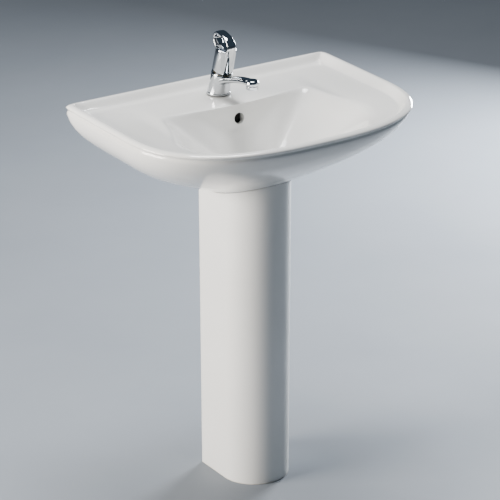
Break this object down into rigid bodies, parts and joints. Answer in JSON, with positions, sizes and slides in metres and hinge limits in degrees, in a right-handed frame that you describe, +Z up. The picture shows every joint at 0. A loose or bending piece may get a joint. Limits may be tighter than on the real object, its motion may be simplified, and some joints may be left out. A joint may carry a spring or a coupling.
{
  "type": "pedestal sink",
  "caption": "Glazed china wash basin on a china column, with a single-lever mixer tap, push plug waste, tubular trap and angle valves.",
  "frame": {"origin": "on the floor, at the middle of the box round the whole object", "axes": "+Z up; -Y towards the person at the basin, +Y into the wall; +X to that person's right"},
  "size_m": [0.652, 0.521, 0.9675],
  "materials": {
    "china": "glossy white glaze",
    "chrome": "polished chrome plate",
    "brass": "plain turned brass",
    "steel": "zinc plated or stainless steel",
    "rubber": "black sealing rubber",
    "plastic": "white or off-white moulding",
    "disc_ceramic": "lapped alumina"
  },
  "bodies": {
    "sink": {"basin": "china", "pedestal": "china", "tap_body": "chrome", "tap_base_gasket": "rubber", "cartridge_base": "plastic", "ceramic_disc_fixed": "disc_ceramic", "cartridge_housing": "plastic", "cartridge_nut": "brass", "cover_dome": "chrome", "aerator_housing": "chrome", "aerator_insert": "plastic", "aerator_washer": "rubber", "fixing_stud": "brass", "horseshoe_gasket": "rubber", "horseshoe_plate": "steel", "fixing_nut": "brass", "hot_supply_tail": "chrome", "hot_valve_body": "chrome", "hot_valve_rosette": "chrome", "hot_compression_nut": "brass", "cold_supply_tail": "chrome", "cold_valve_body": "chrome", "cold_valve_rosette": "chrome", "cold_compression_nut": "brass", "waste_body": "chrome", "waste_top_seal": "rubber", "waste_under_seal": "rubber", "waste_backnut": "brass", "waste_spring": "steel", "waste_tailpiece": "chrome", "trap_j_bend": "chrome", "trap_outlet_arm": "chrome", "trap_inlet_nut": "chrome", "trap_inlet_washer": "rubber", "trap_union_nut": "chrome", "trap_union_washer": "rubber", "waste_rosette": "chrome", "left_hanger_bolt": "steel", "left_fixing_bush": "plastic", "left_fixing_nut": "steel", "right_hanger_bolt": "steel", "right_fixing_bush": "plastic", "right_fixing_nut": "steel"},
    "turntable": {"cartridge_turntable": "plastic", "lever_pivot_pin": "steel"},
    "handle": {"handle": "chrome", "lever_stem": "steel", "handle_grub_screw": "steel", "index_button": "plastic"},
    "disc": {"ceramic_disc_moving": "disc_ceramic", "disc_carrier": "plastic"},
    "plug": {"waste_plug": "chrome", "waste_plug_stem": "plastic"},
    "hot_knob": {"hot_valve_knob": "chrome", "hot_valve_spindle": "brass"},
    "cold_knob": {"cold_valve_knob": "chrome", "cold_valve_spindle": "brass"}
  },
  "joints": [
    {"name": "lever_swing", "type": "hinge", "parent": "sink", "child": "turntable", "pos_m": [0, 0.1315, 0.825], "axis": [0, -0.284, 0.9588], "range_deg": [-45, 45]},
    {"name": "lever_lift", "type": "hinge", "parent": "turntable", "child": "handle", "pos_m": [0, 0.11332, 0.88636], "axis": [-1, 0, 0], "range_deg": [0, 18]},
    {"name": "disc_slide", "type": "slide", "parent": "turntable", "child": "disc", "axis": [0, -0.9588, -0.284], "range_m": [0, 0.0036]},
    {"name": "plug_slide", "type": "slide", "parent": "sink", "child": "plug", "axis": [0, 0, 1], "range_m": [0, 0.008], "deforming": ["waste_spring"]},
    {"name": "hot_valve_turn", "type": "hinge", "parent": "sink", "child": "hot_knob", "pos_m": [-0.072, 0.1495, 0.7], "axis": [0, -1, 0], "range_deg": [0, 90]},
    {"name": "cold_valve_turn", "type": "hinge", "parent": "sink", "child": "cold_knob", "pos_m": [0.072, 0.1495, 0.7], "axis": [0, -1, 0], "range_deg": [0, 90]}
  ],
  "couplings": [
    {"joint": "disc_slide", "follows": "lever_lift", "m_per_rad": 0.0106}
  ]
}
